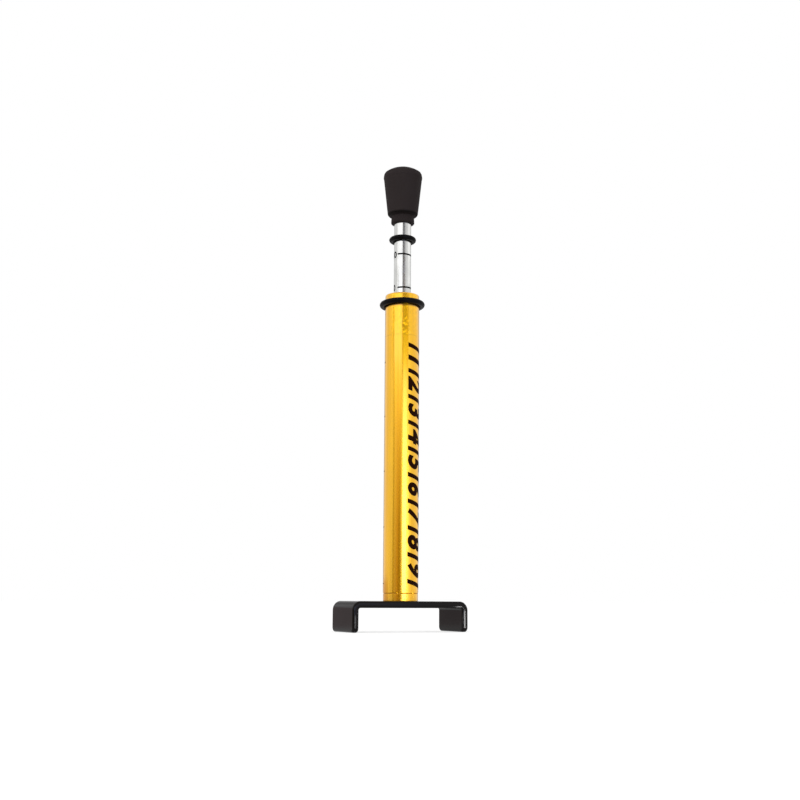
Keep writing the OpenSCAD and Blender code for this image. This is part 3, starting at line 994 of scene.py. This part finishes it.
# %% Flat bars and sheets
def bar(wide, tall, lean=0.0):
    """A flat bar in mm, centred on x, with its foot at y = 0."""
    bm = bmesh.new()
    bmesh.ops.create_grid(bm, x_segments=1, y_segments=1, size=0.5)
    bmesh.ops.translate(bm, verts=bm.verts[:], vec=(0, 0.5, 0))
    bmesh.ops.scale(bm, verts=bm.verts[:], vec=(wide, tall, 1))
    slant = Matrix.Identity(4)
    slant[0][1] = lean
    bmesh.ops.transform(bm, verts=bm.verts[:], matrix=slant)
    return bm


def gather(sheet, bm, x=0.0, y=0.0):
    """Moves flat print by x and y, and adds it to a sheet of print."""
    bmesh.ops.translate(bm, verts=bm.verts[:], vec=(x, y, 0))
    carrier = bpy.data.meshes.new("print")
    bm.to_mesh(carrier)
    bm.free()
    sheet.from_mesh(carrier)
    bpy.data.meshes.remove(carrier)


print("print shop ready")

# %% [markdown]
# ## Rolling print on to a bar
# Ink follows the metal, so the flat print has to bend. Cuts across it give it corners to bend at, and then
# the distance of each corner along the print becomes an angle round the bar. A modifier could bend it too,
# but this sum is short and exact.

# %% Rolling print on to a bar
ink_depth = 0.02
ink_height = 0.03
strip_angle = math.radians(4)
hair = 0.002


def cut_strips(sheet, direction, width):
    """Cuts a sheet of print into strips, so that it can bend."""
    places = [vert.co.dot(direction) for vert in sheet.verts]
    for step in range(1, int((max(places) - min(places)) / width) + 1):
        everything = sheet.verts[:] + sheet.edges[:] + sheet.faces[:]
        bmesh.ops.bisect_plane(sheet, geom=everything, dist=1e-5,
                               plane_co=direction * (min(places) + step * width), plane_no=direction)


def roll_on(sheet, radius, turn, height, down=False):
    """Gives print its thickness and rolls it on to a bar, turn degrees to the right of the camera."""
    direction = Vector((0, 1, 0)) if down else Vector((1, 0, 0))
    cut_strips(sheet, direction, radius * strip_angle)
    bmesh.ops.remove_doubles(sheet, verts=sheet.verts[:], dist=hair)
    bmesh.ops.dissolve_degenerate(sheet, edges=sheet.edges[:], dist=hair)
    bmesh.ops.translate(sheet, verts=sheet.verts[:], vec=(0, 0, -ink_depth))
    lifted = bmesh.ops.extrude_face_region(sheet, geom=sheet.faces[:])["geom"]
    top = [item for item in lifted if isinstance(item, bmesh.types.BMVert)]
    bmesh.ops.translate(sheet, verts=top, vec=(0, 0, ink_depth + ink_height))
    bmesh.ops.recalc_face_normals(sheet, faces=sheet.faces[:])
    front = -math.pi / 2 - yaw + math.radians(turn)
    for vert in sheet.verts:
        polar = front + vert.co.dot(direction) / radius
        rise = -vert.co.x if down else vert.co.y
        out = (radius + vert.co.z) * MM
        vert.co = (out * math.cos(polar), out * math.sin(polar), (height + rise) * MM)


print("ink stands", ink_height, "mm proud")

# %% [markdown]
# ## Figures on the barrel
# The strip stands to the right of the middle of the view and reads from the cap down: nine figures, with
# bars between them that lean as the figures do.

# %% Figures on the barrel
strip_turn = 22
strip_top = 130.5
strip_pitch = 12.0
strip_tall = 9.6
strip_lean = 0.28
strip_bold = 0.045
strip_bar = 2.0
strip_count = 9
sheet = bmesh.new()
for number in range(1, strip_count + 1):
    gather(sheet, figure(str(number), strip_tall, strip_lean, strip_bold), x=(number - 0.5) * strip_pitch)
for line in range(strip_count + 1):
    gather(sheet, bar(strip_bar, strip_tall, strip_lean), x=line * strip_pitch)
roll_on(sheet, barrel_r, strip_turn, strip_top, down=True)
add_piece(sheet, "barrel_figures", "housing", "black_coat", barrel_ink)

# %% [markdown]
# ## Fine scale
# The back of the barrel has a fine scale for the belt's movement, in eighths of an inch. Its long lines reach
# round to the left edge of the view. A line's length tells inches, halves and the rest apart.

# %% Fine scale
scale_zero = 148.4
inch = 25.4
scale_turn = -152
scale_inches = 5
inch_line = 11.4
half_line = 6.0
short_line = 3.8
tick_tall = 0.32
scale_tall = 3.4
scale_bold = 0.012
scale_side = -2.2
sheet = bmesh.new()
for line in range(8 * scale_inches + 1):
    wide = short_line
    if line % 8 == 0:
        wide = inch_line
    elif line % 4 == 0:
        wide = half_line
    gather(sheet, bar(wide, tick_tall), x=wide / 2, y=-line * inch / 8 - tick_tall / 2)
for number in range(scale_inches + 1):
    mark = figure(str(number), scale_tall, 0.0, scale_bold)
    gather(sheet, mark, x=scale_side, y=-number * inch - scale_tall / 2)
roll_on(sheet, barrel_r, scale_turn, scale_zero)
add_piece(sheet, "barrel_scale", "housing", "black_coat", barrel_ink)

# %% [markdown]
# ## Marks on the rod
# Two lines on the rod show no force and ten pounds of it, and their figures stand to the left, half round the
# edge. A line that is printed on a round bar is seldom quite level, so one climbs a little and one falls.

# %% Lines on the rod
zero_height = 158.7
ten_height = 174.7
zero_climb = 0.03
ten_climb = -0.02
line_tall = 0.75
line_from = -35
line_wide = 9.4
sheet = bmesh.new()
for height, climb in ((zero_height, zero_climb), (ten_height, ten_climb)):
    mark = bar(line_wide, line_tall)
    tilt = Matrix.Identity(4)
    tilt[1][0] = climb
    bmesh.ops.transform(mark, verts=mark.verts[:], matrix=tilt)
    gather(sheet, mark, x=line_wide / 2, y=height - line_tall / 2)
roll_on(sheet, rod_r, line_from, 0.0)
add_piece(sheet, "rod_lines", "plunger", "black_coat", rod_ink)

# %% Figures on the rod
rod_figure_turn = -42
rod_figure_tall = 3.2
rod_figure_bold = 0.03
ten_side = -2.2
zero_side = -2.0
sheet = bmesh.new()
for number, side, height in (("10", ten_side, ten_height), ("0", zero_side, zero_height)):
    mark = figure(number, rod_figure_tall, 0.0, rod_figure_bold)
    gather(sheet, mark, x=side, y=height - rod_figure_tall / 2)
roll_on(sheet, rod_r, rod_figure_turn, 0.0)
add_piece(sheet, "rod_figures", "plunger", "black_coat", rod_ink)

# %% [markdown]
# ## The works inside
# The pieces inside the barrel and the knob keep their CAD solids, and so does the screw under the plate. They
# only take the finishes made above.

# %% Finishes for the works
works = {
    "cradle_screw": plated_finish, "guide_bush": pale_finish, "calibration_shims": plated_finish,
    "lower_spring_seat": dark_finish, "upper_spring_seat": dark_finish, "piston": brass_finish,
    "piston_band": pale_finish, "piston_buffer": ring_finish, "rod_washer": plated_finish,
    "rod_clip": wire_finish, "knob_disc": plated_finish,
}
for node, finish in works.items():
    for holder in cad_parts[node].material_slots:
        holder.material = finish
print(len(works), "CAD pieces painted")
